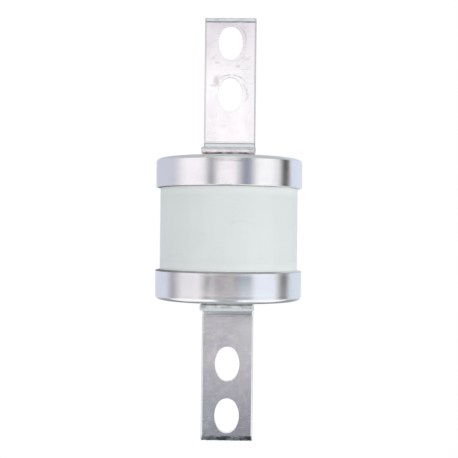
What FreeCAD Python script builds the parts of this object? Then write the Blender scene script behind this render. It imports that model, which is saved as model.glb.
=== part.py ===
import FreeCAD, Part
import os
import Sketcher

# A cartridge fuse link that bolts in place by two tags on its axis, each with oval fixing holes.
# The frame stands in the middle of the ceramic barrel, with +Z up its axis and both feet towards -Y.
# Each upper piece is modelled up from its own seat. The lower ones are the same, turned over about Y.

SIZES = {
    # The ceramic barrel
    "ceramic_diameter": 67.7,
    "ceramic_length": 63.6,
    "ceramic_wall": 8.85,
    # The two caps pressed over each end, and the fibre ring under them
    "press_gap": 0.02,
    "inner_cap_wall": 0.9,
    "outer_cap_wall": 1.2,
    "outer_cap_round": 2.0,
    "outer_cap_skirt": 15.1,
    "rim_lip": 0.9,
    "rim_slope": 0.4,
    "rim_corner": 0.25,
    "gasket_thickness": 0.8,
    "gasket_inset": 1.5,
    # The silver elements, their slots in the inner caps, and the alloy strip across each
    "element_count": 6,
    "element_inset": 10.0,
    "element_width": 9.0,
    "element_thickness": 0.2,
    "element_foot": 4.0,
    "notch_rows": 4,
    "notch_pitch": 12.0,
    "notch_depth": 2.2,
    "notch_half_height": 1.0,
    "window_half_width": 1.2,
    "slot_gap": 0.15,
    "overlay_height": 4.0,
    "overlay_thickness": 0.3,
    "overlay_margin": 0.5,
    "filler_gap": 0.05,
    "filling_hole": 8.0,
    # The tags, their oval holes and the braze under each foot
    "fixing_centres": 133.0,
    "holes_per_tag": 2,
    "hole_pitch": 25.5,
    "end_margin": 12.5,
    "hole_width": 12.0,
    "hole_length": 17.0,
    "hole_end_radius": 5.0,
    "tag_width": 25.4,
    "tag_thickness": 3.2,
    "tag_bend": 4.5,
    "tag_edge_chamfer": 0.5,
    "foot_reach": 28.0,
    "crop_length": 2.3,
    "crop_depth": 0.9,
    "braze_thickness": 0.3,
    "braze_bead": 0.4,
    "braze_side_inset": 1.2,
}

# Radii of the nested cylinders, from the ceramic outwards
CERAMIC_RADIUS = "sizes.ceramic_diameter / 2"
BORE_RADIUS = f"({CERAMIC_RADIUS} - sizes.ceramic_wall)"
INNER_CAP_BORE = f"({CERAMIC_RADIUS} + sizes.press_gap)"
INNER_CAP_RADIUS = f"({INNER_CAP_BORE} + sizes.inner_cap_wall)"
OUTER_CAP_BORE = f"({INNER_CAP_RADIUS} + sizes.press_gap)"
OUTER_CAP_RADIUS = f"({OUTER_CAP_BORE} + sizes.outer_cap_wall)"

# Levels of the stacked seats above the middle of the barrel
GASKET_SEAT = "sizes.ceramic_length / 2"
INNER_CAP_SEAT = f"({GASKET_SEAT} + sizes.gasket_thickness)"
ELEMENT_SEAT = f"({INNER_CAP_SEAT} + sizes.inner_cap_wall)"
OUTER_CAP_SEAT = f"({ELEMENT_SEAT} + sizes.element_thickness)"
BRAZE_SEAT = f"({OUTER_CAP_SEAT} + sizes.outer_cap_wall)"
TAG_SEAT = f"({BRAZE_SEAT} + sizes.braze_thickness)"

# The outer cap's rim is turned in under the inner cap's edge, onto the ceramic
RIM_STEP = f"({OUTER_CAP_BORE} - {INNER_CAP_BORE})"
RIM_HEIGHT = f"(sizes.rim_lip + {RIM_STEP})"

ELEMENT_RADIUS = f"({BORE_RADIUS} - sizes.element_inset)"
TAG_FACE = "sizes.tag_thickness / 2"
TAG_OUTER_BEND = "(sizes.tag_bend + sizes.tag_thickness)"

TURNED_OVER = FreeCAD.Rotation(FreeCAD.Vector(0, 1, 0), 180)

# Short flats that draw the quarter round of the outer cap's closed edge
CLOSED_EDGE_FLAT_COUNT = 4

# How near two places are to count as one, in mm
NEAR = 1e-4

doc = FreeCAD.newDocument("fuse_link")
sheet = doc.addObject("Spreadsheet::Sheet", "sizes")


def fill_sheet():
    """Put each driving size in a cell of its own, under its name."""
    for row, (name, number) in enumerate(SIZES.items(), 1):
        sheet.set(f"A{row}", name)
        sheet.set(f"B{row}", str(number))
        sheet.setAlias(f"B{row}", name)
    doc.recompute()


def value(expression):
    """The number that an expression gives with the sheet as it stands."""
    result = sheet.evalExpression(expression)
    return float(getattr(result, "Value", result))


def new_body(label, seat="0", turned_over=False):
    """An empty body whose own origin lies at its seat on the barrel's axis."""
    body = doc.addObject("PartDesign::Body", label)
    body.Label = label
    if turned_over:
        body.Placement = FreeCAD.Placement(FreeCAD.Vector(0, 0, 0), TURNED_OVER)
        body.setExpression("Placement.Base.z", f"-({seat})")
    else:
        body.setExpression("Placement.Base.z", seat)
    return body


def new_sketch(body, name, role):
    """A sketch on one of the body's own origin planes."""
    plane = next(item for item in body.Origin.OriginFeatures if item.Role == role)
    sketch = body.newObject("Sketcher::SketchObject", name)
    sketch.AttachmentSupport = [(plane, "")]
    sketch.MapMode = "FlatFace"
    return sketch


def pin_along(sketch, geometry, point, kind, axis, expression):
    """Hold one point of the sketch at a distance from the sketch's origin, or on an axis."""
    if expression == "0":
        sketch.addConstraint(Sketcher.Constraint("PointOnObject", geometry, point, axis))
        return
    index = sketch.addConstraint(Sketcher.Constraint(kind, -1, 1, geometry, point, value(expression)))
    sketch.setExpression(f"Constraints[{index}]", expression)


def pin_across(sketch, geometry, point, expression):
    """Hold one point of the sketch at its distance across."""
    pin_along(sketch, geometry, point, "DistanceX", -2, expression)


def pin_up(sketch, geometry, point, expression):
    """Hold one point of the sketch at its distance up."""
    pin_along(sketch, geometry, point, "DistanceY", -1, expression)


def pin_point(sketch, geometry, point, across, up):
    """Hold one point of the sketch both ways."""
    pin_across(sketch, geometry, point, across)
    pin_up(sketch, geometry, point, up)


def add_polygon(sketch, corners):
    """A closed outline of straight lines through corners given as pairs of expressions."""
    points = [FreeCAD.Vector(value(across), value(up), 0) for across, up in corners]
    first = sketch.GeometryCount
    for start, end in zip(points, points[1:] + points[:1]):
        sketch.addGeometry(Part.LineSegment(start, end), False)
    last = sketch.GeometryCount - 1
    for line in range(first, last + 1):
        following = first if line == last else line + 1
        sketch.addConstraint(Sketcher.Constraint("Coincident", line, 2, following, 1))
    for line, (across, up) in enumerate(corners, first):
        pin_point(sketch, line, 1, across, up)


def rounding(across, up, radius, first, last, flats):
    """Corners of a rounded edge: short flats along an arc about a centre, between two angles in degrees."""
    corners = []
    for step in range(flats + 1):
        angle = first + (last - first) * step / flats
        corners.append((f"{across} + {radius} * cos({angle})", f"{up} + {radius} * sin({angle})"))
    return corners


def add_rectangle(sketch, left, right, low, high):
    """A rectangle between two distances across and two up."""
    add_polygon(sketch, [(left, low), (right, low), (right, high), (left, high)])


def add_circle(sketch, radius):
    """A circle round the sketch's origin."""
    circle = Part.Circle(FreeCAD.Vector(0, 0, 0), FreeCAD.Vector(0, 0, 1), value(radius))
    geometry = sketch.addGeometry(circle, False)
    sketch.addConstraint(Sketcher.Constraint("Coincident", geometry, 3, -1, 1))
    index = sketch.addConstraint(Sketcher.Constraint("Radius", geometry, value(radius)))
    sketch.setExpression(f"Constraints[{index}]", radius)


def revolve(body, name, corners):
    """Turn a half section, drawn as radius and height, round the body's Z axis."""
    sketch = new_sketch(body, f"{name}_section", "XZ_Plane")
    add_polygon(sketch, corners)
    turned = body.newObject("PartDesign::Revolution", name)
    turned.Profile = sketch
    turned.ReferenceAxis = (sketch, ["V_Axis"])
    turned.Angle = 360
    doc.recompute()
    return turned


def pad(body, name, sketch, length, both_ways=False):
    """Give a sketch its thickness, to one side of its plane or half to each."""
    raised = body.newObject("PartDesign::Pad", name)
    raised.Profile = sketch
    raised.Midplane = both_ways
    raised.setExpression("Length", length)
    doc.recompute()
    return raised


def pocket(body, name, sketch):
    """Cut a sketch right through, to both sides of its plane."""
    before = body.Shape.Volume
    cut = body.newObject("PartDesign::Pocket", name)
    cut.Profile = sketch
    cut.Midplane = True
    cut.Type = "ThroughAll"
    doc.recompute()
    if body.Shape.Volume >= before:
        raise ValueError(f"{name} of {body.Label} cut nothing")
    return cut


def repeat_round(body, name, cut, count):
    """Repeat a cut evenly round the body's Z axis."""
    axis = next(item for item in body.Origin.OriginFeatures if item.Role == "Z_Axis")
    pattern = body.newObject("PartDesign::PolarPattern", name)
    pattern.Originals = [cut]
    pattern.Axis = (axis, [""])
    pattern.Angle = 360
    pattern.setExpression("Occurrences", count)
    body.Tip = pattern
    doc.recompute()
    return pattern


def repeat_up(body, name, cut, sketch, length, count):
    """Repeat a cut along its sketch's upright axis, over a length between the first and last."""
    pattern = body.newObject("PartDesign::LinearPattern", name)
    pattern.Originals = [cut]
    pattern.Direction = (sketch, ["V_Axis"])
    pattern.setExpression("Length", length)
    pattern.setExpression("Occurrences", count)
    body.Tip = pattern
    doc.recompute()
    return pattern


def dress(body, name, kind, feature, edges, size_name, size):
    """Round or chamfer the named edges of the last feature."""
    if not edges:
        raise ValueError(f"{name} of {body.Label} found no edge")
    dressed = body.newObject(f"PartDesign::{kind}", name)
    dressed.Base = (feature, edges)
    dressed.setExpression(size_name, size)
    doc.recompute()
    return dressed


def fillet(body, name, feature, edges, radius):
    """Round the named edges of the last feature."""
    return dress(body, name, "Fillet", feature, edges, "Radius", radius)


def chamfer(body, name, feature, edges, size):
    """Break the named edges of the last feature at 45 degrees."""
    return dress(body, name, "Chamfer", feature, edges, "Size", size)


def cross_edges(feature, depth, height):
    """The straight edges along X through one point of the YZ plane."""
    at = FreeCAD.Vector(0, value(depth), value(height))
    names = []
    for number, edge in enumerate(feature.Shape.Edges, 1):
        middle = edge.CenterOfMass
        if (middle - at).Length < NEAR and edge.BoundBox.YLength < NEAR:
            names.append(f"Edge{number}")
    return names


def long_edges(feature):
    """The edges that run along the bent strip on its two sides, without those across its thickness."""
    side = value("sizes.tag_width / 2")
    thickness = value("sizes.tag_thickness")
    names = []
    for number, edge in enumerate(feature.Shape.Edges, 1):
        on_side = edge.BoundBox.XLength < NEAR and abs(abs(edge.CenterOfMass.x) - side) < NEAR
        if on_side and edge.Length > thickness + NEAR:
            names.append(f"Edge{number}")
    return names


def make_ceramic_body():
    """The thick ceramic tube, with its ends ground flat under the caps."""
    body = new_body("ceramic_body")
    sketch = new_sketch(body, "tube_outline", "XY_Plane")
    add_circle(sketch, CERAMIC_RADIUS)
    add_circle(sketch, BORE_RADIUS)
    pad(body, "ceramic_tube", sketch, "sizes.ceramic_length", both_ways=True)
    return body


def make_gasket(label, turned_over):
    """A flat fibre ring on the ceramic's ground end."""
    body = new_body(label, GASKET_SEAT, turned_over)
    sketch = new_sketch(body, "gasket_outline", "XY_Plane")
    add_circle(sketch, f"{CERAMIC_RADIUS} - sizes.gasket_inset")
    add_circle(sketch, f"{BORE_RADIUS} + sizes.gasket_inset")
    pad(body, "gasket_ring", sketch, "sizes.gasket_thickness")
    return body


def make_inner_cap(label, turned_over, filling_hole):
    """A thin drawn cap pressed on the ceramic, with a slot for each element to come out through."""
    body = new_body(label, INNER_CAP_SEAT, turned_over)
    outer_rim = f"({BRAZE_SEAT} - sizes.outer_cap_skirt)"
    rim = f"{outer_rim} + {RIM_HEIGHT} - {INNER_CAP_SEAT}"
    corners = [
        ("0", "0"),
        (INNER_CAP_BORE, "0"),
        (INNER_CAP_BORE, rim),
        (INNER_CAP_RADIUS, rim),
        (INNER_CAP_RADIUS, "sizes.inner_cap_wall"),
        ("0", "sizes.inner_cap_wall"),
    ]
    revolve(body, "drawn_cap", corners)
    slot_sketch = new_sketch(body, "slot_outline", "XY_Plane")
    half_slot = "(sizes.element_thickness / 2 + sizes.slot_gap)"
    half_width = "(sizes.element_width / 2 + sizes.slot_gap)"
    add_rectangle(
        slot_sketch,
        f"{ELEMENT_RADIUS} - {half_slot}",
        f"{ELEMENT_RADIUS} + {half_slot}",
        f"-{half_width}",
        half_width,
    )
    slot = pocket(body, "element_slot", slot_sketch)
    repeat_round(body, "element_slots", slot, "sizes.element_count")
    if filling_hole:
        hole_sketch = new_sketch(body, "filling_hole_outline", "XY_Plane")
        add_circle(hole_sketch, "sizes.filling_hole / 2")
        pocket(body, "filling_hole", hole_sketch)
    return body


def make_filler_plug():
    """The disc pressed into the upper inner cap's filling hole."""
    body = new_body("filler_plug", INNER_CAP_SEAT)
    sketch = new_sketch(body, "plug_outline", "XY_Plane")
    add_circle(sketch, "sizes.filling_hole / 2 - sizes.press_gap")
    pad(body, "plug_disc", sketch, "sizes.inner_cap_wall")
    return body


def make_outer_cap(label, turned_over):
    """The plated drawn cap, with a rounded closed edge and its rim turned in onto the ceramic."""
    body = new_body(label, BRAZE_SEAT, turned_over)
    rim = "-sizes.outer_cap_skirt"
    round_off = "sizes.outer_cap_round"
    side = f"{OUTER_CAP_RADIUS} - {round_off}"
    closed_edge = rounding(side, f"-{round_off}", round_off, 0, 90, CLOSED_EDGE_FLAT_COUNT)
    corners = [
        ("0", "0"),
        ("0", "-sizes.outer_cap_wall"),
        (OUTER_CAP_BORE, "-sizes.outer_cap_wall"),
        (OUTER_CAP_BORE, f"{rim} + {RIM_HEIGHT}"),
        (INNER_CAP_BORE, f"{rim} + sizes.rim_lip"),
        (INNER_CAP_BORE, rim),
        (f"{OUTER_CAP_RADIUS} - sizes.rim_corner", f"{rim} + sizes.rim_slope"),
        (OUTER_CAP_RADIUS, f"{rim} + sizes.rim_slope + sizes.rim_corner"),
        *closed_edge,
    ]
    revolve(body, "drawn_cap", corners)
    return body


def make_element(number, turn):
    """A silver strip through both inner caps, with its ends bent out onto them and rows of notches."""
    body = new_body(f"fuse_element_{number}")
    body.Placement = FreeCAD.Placement(FreeCAD.Vector(0, 0, 0), turn)
    half = "sizes.element_thickness / 2"
    inside = f"{ELEMENT_RADIUS} - {half}"
    outside = f"{ELEMENT_RADIUS} + {half}"
    foot_end = f"{ELEMENT_RADIUS} + sizes.element_foot"
    section = new_sketch(body, "strip_section", "XZ_Plane")
    corners = [
        (inside, f"-{OUTER_CAP_SEAT}"),
        (foot_end, f"-{OUTER_CAP_SEAT}"),
        (foot_end, f"-{ELEMENT_SEAT}"),
        (outside, f"-{ELEMENT_SEAT}"),
        (outside, ELEMENT_SEAT),
        (foot_end, ELEMENT_SEAT),
        (foot_end, OUTER_CAP_SEAT),
        (inside, OUTER_CAP_SEAT),
    ]
    add_polygon(section, corners)
    pad(body, "strip", section, "sizes.element_width", both_ways=True)
    row_sketch = new_sketch(body, "notch_outline", "YZ_Plane")
    lowest = "(-sizes.notch_pitch * (sizes.notch_rows - 1) / 2)"
    rise = "sizes.notch_half_height"
    for side in ("", "-"):
        apex = f"{side}(sizes.element_width / 2 - sizes.notch_depth)"
        mouth = f"{side}(sizes.element_width / 2 + sizes.notch_depth)"
        notch = [(apex, lowest), (mouth, f"{lowest} - 2 * {rise}"), (mouth, f"{lowest} + 2 * {rise}")]
        add_polygon(row_sketch, notch)
    window = [
        ("-sizes.window_half_width", lowest),
        ("0", f"{lowest} - {rise}"),
        ("sizes.window_half_width", lowest),
        ("0", f"{lowest} + {rise}"),
    ]
    add_polygon(row_sketch, window)
    row = pocket(body, "notch_row", row_sketch)
    spread = "sizes.notch_pitch * (sizes.notch_rows - 1)"
    repeat_up(body, "notch_rows", row, row_sketch, spread, "sizes.notch_rows")
    return body


def make_overlay(number, turn):
    """The low-melting strip across the middle of an element's outer face."""
    body = new_body(f"solder_overlay_{number}")
    body.Placement = FreeCAD.Placement(FreeCAD.Vector(0, 0, 0), turn)
    face = f"{ELEMENT_RADIUS} + sizes.element_thickness / 2"
    half = "sizes.overlay_height / 2"
    sketch = new_sketch(body, "overlay_section", "XZ_Plane")
    add_rectangle(sketch, face, f"{face} + sizes.overlay_thickness", f"-{half}", half)
    across = "sizes.element_width - 2 * sizes.overlay_margin"
    pad(body, "overlay", sketch, across, both_ways=True)
    return body


def make_filler():
    """The packed quartz sand as one block, with a slot for each element and its overlay."""
    body = new_body("quartz_filler")
    round_sketch = new_sketch(body, "filler_outline", "XY_Plane")
    add_circle(round_sketch, f"{BORE_RADIUS} - sizes.filler_gap")
    pad(body, "packed_sand", round_sketch, f"2 * {INNER_CAP_SEAT}", both_ways=True)
    half = "sizes.element_thickness / 2"
    gap = "sizes.filler_gap"
    half_width = f"(sizes.element_width / 2 + {gap})"
    slot_sketch = new_sketch(body, "strip_room", "XY_Plane")
    add_rectangle(
        slot_sketch,
        f"{ELEMENT_RADIUS} - {half} - {gap}",
        f"{ELEMENT_RADIUS} + {half} + sizes.overlay_thickness + {gap}",
        f"-{half_width}",
        half_width,
    )
    slot = pocket(body, "strip_slot", slot_sketch)
    repeat_round(body, "strip_slots", slot, "sizes.element_count")
    return body


def make_braze(label, turned_over):
    """The braze between a cap and its tag's foot, standing out a little at the foot's front end."""
    body = new_body(label, BRAZE_SEAT, turned_over)
    side = "(sizes.tag_width / 2 - sizes.braze_side_inset)"
    front = "-(sizes.foot_reach + sizes.braze_bead)"
    back = f"{TAG_FACE} - {TAG_OUTER_BEND}"
    sketch = new_sketch(body, "braze_outline", "XY_Plane")
    add_rectangle(sketch, f"-{side}", side, front, back)
    pad(body, "braze_pad", sketch, "sizes.braze_thickness")
    return body


def add_oval(sketch, height):
    """An oval of four tangent arcs, two at its ends and two along its sides, round one height."""
    across = value("sizes.hole_width / 2")
    along = value("sizes.hole_length / 2")
    end_radius = value("sizes.hole_end_radius")
    end_offset = along - end_radius
    side_radius = (end_offset**2 + across**2 - end_radius**2) / (2 * (across - end_radius))
    side_offset = side_radius - across
    middle = value(height)
    reach = side_radius / (side_radius - end_radius)
    touch_across = side_offset * reach - side_offset
    touch_up = end_offset * reach
    normal = FreeCAD.Vector(0, 0, 1)

    def arc(centre, radius, start, end):
        """An arc about a centre, anticlockwise from one point to another."""
        centre = FreeCAD.Vector(*centre, 0)
        start = FreeCAD.Vector(*start, 0) - centre
        end = FreeCAD.Vector(*end, 0) - centre
        whole = Part.Circle(centre, normal, radius)
        return Part.ArcOfCircle(whole, whole.parameter(centre + start), whole.parameter(centre + end))

    right_top = (touch_across, middle + touch_up)
    left_top = (-touch_across, middle + touch_up)
    left_low = (-touch_across, middle - touch_up)
    right_low = (touch_across, middle - touch_up)
    top = sketch.addGeometry(arc((0, middle + end_offset), end_radius, right_top, left_top), False)
    left = sketch.addGeometry(arc((side_offset, middle), side_radius, left_top, left_low), False)
    low = sketch.addGeometry(arc((0, middle - end_offset), end_radius, left_low, right_low), False)
    right = sketch.addGeometry(arc((-side_offset, middle), side_radius, right_low, right_top), False)
    offset = "(sizes.hole_length / 2 - sizes.hole_end_radius)"
    half = "sizes.hole_width / 2"
    bow = (
        f"(({offset}^2 + ({half})^2 - sizes.hole_end_radius^2)"
        f" / (2 * ({half} - sizes.hole_end_radius)) - {half})"
    )
    pin_point(sketch, top, 3, "0", f"{height} + {offset}")
    pin_point(sketch, low, 3, "0", f"{height} - {offset}")
    pin_point(sketch, left, 3, bow, height)
    pin_across(sketch, right, 3, f"-{bow}")
    index = sketch.addConstraint(Sketcher.Constraint("Radius", top, end_radius))
    sketch.setExpression(f"Constraints[{index}]", "sizes.hole_end_radius")
    sketch.addConstraint(Sketcher.Constraint("Tangent", top, 2, left, 1))
    sketch.addConstraint(Sketcher.Constraint("Tangent", left, 2, low, 1))
    sketch.addConstraint(Sketcher.Constraint("Tangent", low, 2, right, 1))
    sketch.addConstraint(Sketcher.Constraint("Coincident", right, 2, top, 1))


def make_tag(label, turned_over):
    """A plated copper strip bent to an L: the foot on the cap, the blade on the barrel's axis."""
    body = new_body(label, TAG_SEAT, turned_over)
    centre = f"(sizes.fixing_centres / 2 - {TAG_SEAT})"
    hole_spread = "(sizes.hole_pitch * (sizes.holes_per_tag - 1))"
    blade_end = f"({centre} + {hole_spread} + sizes.end_margin)"
    thick = "sizes.tag_thickness"
    section = new_sketch(body, "strip_section", "YZ_Plane")
    corners = [
        ("-sizes.foot_reach", "0"),
        (TAG_FACE, "0"),
        (TAG_FACE, blade_end),
        (f"-{TAG_FACE} + sizes.crop_depth", blade_end),
        (f"-{TAG_FACE}", f"{blade_end} - sizes.crop_length"),
        (f"-{TAG_FACE}", thick),
        ("-sizes.foot_reach", thick),
    ]
    add_polygon(section, corners)
    strip = pad(body, "bent_strip", section, "sizes.tag_width", both_ways=True)
    inner = fillet(body, "inner_bend", strip, cross_edges(strip, f"-{TAG_FACE}", thick), "sizes.tag_bend")
    outer = fillet(body, "outer_bend", inner, cross_edges(inner, TAG_FACE, "0"), TAG_OUTER_BEND)
    chamfer(body, "long_edges", outer, long_edges(outer), "sizes.tag_edge_chamfer")
    hole_sketch = new_sketch(body, "hole_outline", "XZ_Plane")
    add_oval(hole_sketch, centre)
    hole = pocket(body, "fixing_hole", hole_sketch)
    repeat_up(body, "fixing_holes", hole, hole_sketch, hole_spread, "sizes.holes_per_tag")
    return body


def build():
    """Every piece of the link, in the order in which it is put together."""
    bodies = [make_ceramic_body()]
    for end, turned_over in (("upper", False), ("lower", True)):
        bodies.append(make_gasket(f"{end}_gasket", turned_over))
        bodies.append(make_inner_cap(f"{end}_inner_cap", turned_over, filling_hole=not turned_over))
    count = int(value("sizes.element_count"))
    for number in range(1, count + 1):
        turn = FreeCAD.Rotation(FreeCAD.Vector(0, 0, 1), 360 * (number - 1) / count)
        bodies.append(make_element(number, turn))
        bodies.append(make_overlay(number, turn))
    bodies.append(make_filler())
    bodies.append(make_filler_plug())
    for end, turned_over in (("upper", False), ("lower", True)):
        bodies.append(make_outer_cap(f"{end}_outer_cap", turned_over))
        bodies.append(make_braze(f"{end}_braze", turned_over))
        bodies.append(make_tag(f"{end}_tag", turned_over))
    return bodies


def check(bodies):
    """Stop if any feature failed, or any piece isn't one whole solid."""
    for item in doc.Objects:
        if {"Invalid", "Error"} & set(item.State):
            raise ValueError(f"{item.Label} failed: {item.State}")
    for body in bodies:
        shape = body.Shape
        if shape.isNull() or not shape.isValid() or len(shape.Solids) != 1:
            raise ValueError(f"{body.Label} isn't one valid solid")


def write(bodies):
    """One STEP file for each piece, named after it."""
    os.makedirs("parts", exist_ok=True)
    for body in bodies:
        body.Shape.exportStep(f"parts/{body.Label}.step")


fill_sheet()
pieces = build()
doc.recompute()
check(pieces)
write(pieces)
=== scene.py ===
import math

import bmesh
import bpy
from mathutils import Matrix, Vector, noise
from mathutils.geometry import tessellate_polygon


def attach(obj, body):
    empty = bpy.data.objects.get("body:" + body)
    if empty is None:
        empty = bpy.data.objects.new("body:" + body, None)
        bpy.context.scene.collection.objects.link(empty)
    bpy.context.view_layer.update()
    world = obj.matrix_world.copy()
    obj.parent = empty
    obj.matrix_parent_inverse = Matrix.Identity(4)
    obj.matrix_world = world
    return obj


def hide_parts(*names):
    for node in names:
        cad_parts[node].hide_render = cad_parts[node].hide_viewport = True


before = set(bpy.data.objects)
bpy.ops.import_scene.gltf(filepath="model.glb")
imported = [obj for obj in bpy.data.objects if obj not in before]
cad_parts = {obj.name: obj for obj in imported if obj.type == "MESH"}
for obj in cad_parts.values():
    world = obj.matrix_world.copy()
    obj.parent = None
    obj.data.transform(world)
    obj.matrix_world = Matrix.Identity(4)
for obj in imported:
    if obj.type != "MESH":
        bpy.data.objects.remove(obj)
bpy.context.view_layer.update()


# The studio. The camera stands half a metre in front of the link, level with its middle and slightly to its
# right, and leans a little. The link is held by its fixing holes above a pale floor, in soft, even light.
# Plain screens stand round it, out of view, and sheets lie on the floor: only polished metal shows them.
mm = 0.001
camera_place = Vector((9.1, -488.0, -1.7)) * mm
camera_pan, camera_tilt, camera_roll = 1.05, 0.21, -0.636
camera_lens = 77.5
floor_height = -150 * mm
floor_reach = 3.0
floor_glow, floor_glow_share = 1.05, 0.86
plain_light = 0.8
# Each screen: from and to in degrees round the axis (0 faces the camera, 90 is to its right), the width of
# its faded ends, and its rows. A row has a distance and a height in metres, its shade, which is left out
# where it is the one before, and 0 if the screen is clear there. Upper and lower screens meet at one height.
meet = 0.005
screen_columns = 13
screens = [
    (-140, 140, 14, [(1.1, 0.36, (0.38, 0.39, 0.42), 0), (1.1, 0.41), (1.1, 0.58, (0.42, 0.43, 0.45)),
        (1.1, 0.67, (0.56, 0.59, 0.59)), (0.8, 1.0), (0.3, 1.15, (0.52, 0.54, 0.54)),
        (0.02, 1.2, (0.5, 0.52, 0.52))]),
    (130, 230, 8, [(1.1, 0.46, (0.42, 0.43, 0.45), 0), (1.1, 0.52), (1.1, 0.67, (0.56, 0.59, 0.59)),
        (0.8, 1.0), (0.3, 1.15, (0.52, 0.54, 0.54)), (0.02, 1.2, (0.5, 0.52, 0.52))]),
    (-26, 26, 5, [(1.09, 0.37, (0.27, 0.28, 0.31), 0), (1.09, 0.43), (1.09, 0.58, (0.33, 0.35, 0.37)),
        (1.09, 0.66, (0.7, 0.76, 0.77)), (0.79, 0.98, (0.76, 0.81, 0.81)), (0.28, 1.12, (0.78, 0.81, 0.81)),
        (0.03, 1.17, (0.7, 0.72, 0.72))]),
    (-74, -34, 8, [(1.085, meet, (0.985, 0.94, 0.99)), (1.085, 0.3)]),
    (-176, -67, 24, [(1.08, meet, (0.59, 0.6, 0.69)), (1.08, 0.6), (0.9, 0.9, (0.54, 0.56, 0.62)),
        (0.6, 1.05, (0.5, 0.5, 0.5), 0)]),
    (-38, -14, 11, [(1.08, meet, (0.23, 0.23, 0.26)), (1.08, 0.36, (0.3, 0.3, 0.33))]),
    (-19, 20, 7, [(1.07, meet, (1.55, 1.46, 1.51)), (1.07, 0.045, (1.42, 1.33, 1.38)),
        (1.07, 0.07, (1.14, 1.06, 1.11)), (1.07, 0.09, (0.88, 0.81, 0.85)),
        (1.07, 0.12, (0.64, 0.58, 0.62)), (1.07, 0.15, (1, 1, 1), 0)]),
    (-17, 17, 6, [(1.075, 0.14, (1.12, 1.11, 1.12), 0), (1.075, 0.162), (1.075, 0.19, (1.07, 1.06, 1.07)),
        (1.075, 0.22, (1.02, 1.01, 1.02)), (1.075, 0.26, (1, 1, 1), 0)]),
    (9, 46, 15, [(1.06, meet, (0.22, 0.24, 0.31)), (1.06, 0.36, (0.28, 0.29, 0.34))]),
    (64, 96, 22, [(1.08, meet, (0.82, 0.82, 0.84)), (1.08, 0.3, (0.86, 0.86, 0.88))]),
    (82, 114, 11, [(1.05, meet, (0.04, 0.04, 0.03)), (1.05, 0.34, (0.08, 0.08, 0.07)),
        (1.05, 0.5, (0.2, 0.2, 0.2), 0)]),
    (108, 174, 8, [(1.09, meet, (0.7, 0.77, 0.89)), (1.09, 0.6), (0.9, 0.9, (0.6, 0.64, 0.7)),
        (0.6, 1.05, (0.5, 0.5, 0.5), 0)]),
    (-174, -90, 14, [(0.14, -0.149, (0.66, 0.69, 0.8), 0), (0.26, -0.148), (1.08, -0.148), (1.08, meet)]),
    (-92, -38, 12, [(1.09, -0.148, (0.72, 0.71, 0.74)), (1.09, meet)]),
    (-110, -76, 14, [(0.3, -0.147, (0.35, 0.34, 0.37), 0), (0.6, -0.147), (1.07, -0.147), (1.07, meet)]),
    (-46, 42, 12, [(1.06, -0.149, (1.0, 0.98, 1.0)), (1.06, -0.139, (0.9, 0.88, 0.9)),
        (1.06, -0.121, (0.16, 0.16, 0.17)), (1.06, meet, (0.12, 0.12, 0.13))]),
    (-31, -16, 5, [(1.05, -0.124, (0.44, 0.42, 0.45), 0), (1.05, -0.108), (1.05, meet)]),
    (-12, 3, 5, [(1.05, -0.132, (0.13, 0.1, 0.13), 0), (1.05, -0.116), (1.05, meet, (0.1, 0.07, 0.09))]),
    (14, 92, 22, [(1.07, -0.148, (0.74, 0.81, 0.93)), (1.07, meet)]),
    (16, 38, 9, [(1.04, -0.124, (0.26, 0.35, 0.43), 0), (1.04, -0.108), (1.04, meet)]),
    (76, 115, 14, [(0.3, -0.147, (0.28, 0.28, 0.3), 0), (0.6, -0.147), (1.03, -0.147, (0.33, 0.33, 0.36)),
        (1.03, -0.104, (0.29, 0.29, 0.32)), (1.03, -0.075, (0.17, 0.17, 0.18)),
        (1.03, meet, (0.13, 0.13, 0.14))]),
    (106, 174, 8, [(0.14, -0.148, (0.66, 0.76, 0.86), 0), (0.26, -0.148), (1.08, -0.148),
        (1.08, -0.085, (0.67, 0.75, 0.85)), (1.08, meet, (0.69, 0.68, 0.79))]),
    (-180, 180, 0, [(0.0, -0.1465, (0.38, 0.42, 0.45)), (0.06, -0.1465),
        (0.1, -0.1465, (0.4, 0.4, 0.4), 0)]),
    (-21, 19, 6, [(0.02, -0.146, (0.46, 0.5, 0.53)), (0.1, -0.146, (0.44, 0.47, 0.5)),
        (0.17, -0.146, (0.3, 0.33, 0.35)), (0.25, -0.146, (0.27, 0.27, 0.3)),
        (0.33, -0.146, (0.44, 0.44, 0.48)), (0.6, -0.146, (0.64, 0.63, 0.66)),
        (1.02, -0.146, (1.0, 0.98, 1.0))]),
    (100, 260, 12, [(0.05, -0.146, (0.24, 0.26, 0.29)), (0.16, -0.146, (0.26, 0.28, 0.31)),
        (0.3, -0.146, (0.44, 0.46, 0.49)), (0.5, -0.146, (0.66, 0.68, 0.71)),
        (0.9, -0.146, (0.76, 0.77, 0.79)), (1.04, -0.146, (1, 1, 1), 0)]),
]


def node(tree, kind, inputs=(), **settings):
    """A node with its settings made, and each input given a value or joined to an output.

    The tree may be given by any socket that is in it.
    """
    tree = tree.id_data
    made = tree.nodes.new(kind)
    for name, setting in settings.items():
        setattr(made, name, setting)
    for key, given in dict(inputs).items():
        if isinstance(given, bpy.types.NodeSocket):
            tree.links.new(given, made.inputs[key])
        else:
            made.inputs[key].default_value = given
    return made


def wire(tree, kind, inputs=(), **settings):
    """The first output of such a node."""
    return node(tree, kind, inputs, **settings).outputs[0]


def calc(operation, first, *others, clamp=False):
    """An output worked out with other numbers in turn, or by itself."""
    for other in others or (0.0,):
        numbers = {0: first, 1: other}
        first = wire(first, "ShaderNodeMath", numbers, operation=operation, use_clamp=clamp)
    return first


def times(*factors):
    """The product of an output and other numbers."""
    return calc("MULTIPLY", *factors)


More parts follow.
